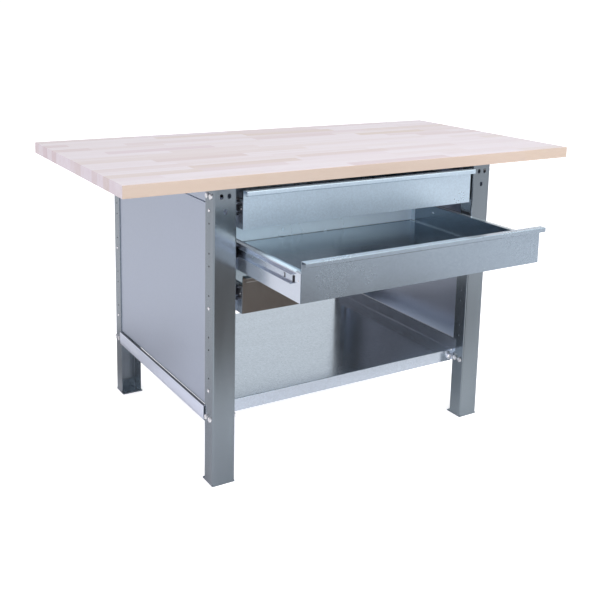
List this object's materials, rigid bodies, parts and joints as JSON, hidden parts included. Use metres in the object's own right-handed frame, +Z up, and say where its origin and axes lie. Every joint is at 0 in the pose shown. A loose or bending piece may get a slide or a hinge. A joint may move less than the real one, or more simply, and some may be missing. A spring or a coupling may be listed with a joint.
{
  "type": "workbench",
  "caption": "Steel-framed workbench with a laminated wooden top, closed sheet-steel sides, a lower shelf and sheet-steel drawers on ball-bearing slides.",
  "frame": {"origin": "on the floor, under the middle of the whole outline as stored, with the middle drawer open", "axes": "+X to the right along the worktop, +Y to the back of the bench, +Z up; the drawers open towards -Y"},
  "size_m": [1.5, 1.046, 0.853],
  "materials": {
    "wooden_top": "satin",
    "frame_steel": "satin galvanised",
    "sheet_steel": "satin galvanised",
    "drawer_steel": "galvanised with spangle",
    "slide_steel": "bright zinc",
    "bolt_steel": "bright zinc"
  },
  "bodies": {
    "frame": {"worktop": "wooden_top", "leg_front_left": "frame_steel", "foot_front_left": "frame_steel", "leg_front_right": "frame_steel", "foot_front_right": "frame_steel", "leg_rear_left": "frame_steel", "foot_rear_left": "frame_steel", "leg_rear_right": "frame_steel", "foot_rear_right": "frame_steel", "side_panel_left": "frame_steel", "side_panel_right": "frame_steel", "upper_rail_left": "frame_steel", "upper_rail_right": "frame_steel", "lower_rail_left": "frame_steel", "lower_rail_right": "frame_steel", "shelf_bearer_left": "frame_steel", "shelf_bearer_right": "frame_steel", "slide_bearers_left": "frame_steel", "slide_bearers_right": "frame_steel", "rear_rail": "frame_steel", "shelf": "sheet_steel", "shelf_cleats": "frame_steel", "frame_bolts": "bolt_steel", "slide_top_left_outer": "slide_steel", "slide_top_right_outer": "slide_steel", "slide_middle_left_outer": "slide_steel", "slide_middle_right_outer": "slide_steel", "slide_bottom_left_outer": "slide_steel", "slide_bottom_right_outer": "slide_steel"},
    "drawer_top": {"drawer_top_front": "drawer_steel", "drawer_top_tray": "drawer_steel", "drawer_top_back": "drawer_steel", "slide_top_left_inner": "slide_steel", "slide_top_right_inner": "slide_steel"},
    "cage_top_left": {"slide_top_left_cage": "slide_steel"},
    "cage_top_right": {"slide_top_right_cage": "slide_steel"},
    "drawer_middle": {"drawer_middle_front": "drawer_steel", "drawer_middle_tray": "drawer_steel", "drawer_middle_back": "drawer_steel", "slide_middle_left_inner": "slide_steel", "slide_middle_right_inner": "slide_steel"},
    "cage_middle_left": {"slide_middle_left_cage": "slide_steel"},
    "cage_middle_right": {"slide_middle_right_cage": "slide_steel"},
    "drawer_bottom": {"drawer_bottom_front": "drawer_steel", "drawer_bottom_tray": "drawer_steel", "drawer_bottom_back": "drawer_steel", "slide_bottom_left_inner": "slide_steel", "slide_bottom_right_inner": "slide_steel"},
    "cage_bottom_left": {"slide_bottom_left_cage": "slide_steel"},
    "cage_bottom_right": {"slide_bottom_right_cage": "slide_steel"}
  },
  "joints": [
    {"name": "drawer_top_slide", "type": "slide", "parent": "frame", "child": "drawer_top", "axis": [0, -1, 0], "range_m": [0, 0.4]},
    {"name": "cage_top_left_slide", "type": "slide", "parent": "frame", "child": "cage_top_left", "axis": [0, -1, 0], "range_m": [0, 0.2]},
    {"name": "cage_top_right_slide", "type": "slide", "parent": "frame", "child": "cage_top_right", "axis": [0, -1, 0], "range_m": [0, 0.2]},
    {"name": "drawer_middle_slide", "type": "slide", "parent": "frame", "child": "drawer_middle", "axis": [0, -1, 0], "range_m": [-0.29, 0.11]},
    {"name": "cage_middle_left_slide", "type": "slide", "parent": "frame", "child": "cage_middle_left", "axis": [0, -1, 0], "range_m": [-0.145, 0.055]},
    {"name": "cage_middle_right_slide", "type": "slide", "parent": "frame", "child": "cage_middle_right", "axis": [0, -1, 0], "range_m": [-0.145, 0.055]},
    {"name": "drawer_bottom_slide", "type": "slide", "parent": "frame", "child": "drawer_bottom", "axis": [0, -1, 0], "range_m": [0, 0.4]},
    {"name": "cage_bottom_left_slide", "type": "slide", "parent": "frame", "child": "cage_bottom_left", "axis": [0, -1, 0], "range_m": [0, 0.2]},
    {"name": "cage_bottom_right_slide", "type": "slide", "parent": "frame", "child": "cage_bottom_right", "axis": [0, -1, 0], "range_m": [0, 0.2]}
  ],
  "couplings": [
    {"joint": "cage_top_left_slide", "follows": "drawer_top_slide", "ratio": 0.5},
    {"joint": "cage_top_right_slide", "follows": "drawer_top_slide", "ratio": 0.5},
    {"joint": "cage_middle_left_slide", "follows": "drawer_middle_slide", "ratio": 0.5},
    {"joint": "cage_middle_right_slide", "follows": "drawer_middle_slide", "ratio": 0.5},
    {"joint": "cage_bottom_left_slide", "follows": "drawer_bottom_slide", "ratio": 0.5},
    {"joint": "cage_bottom_right_slide", "follows": "drawer_bottom_slide", "ratio": 0.5}
  ]
}
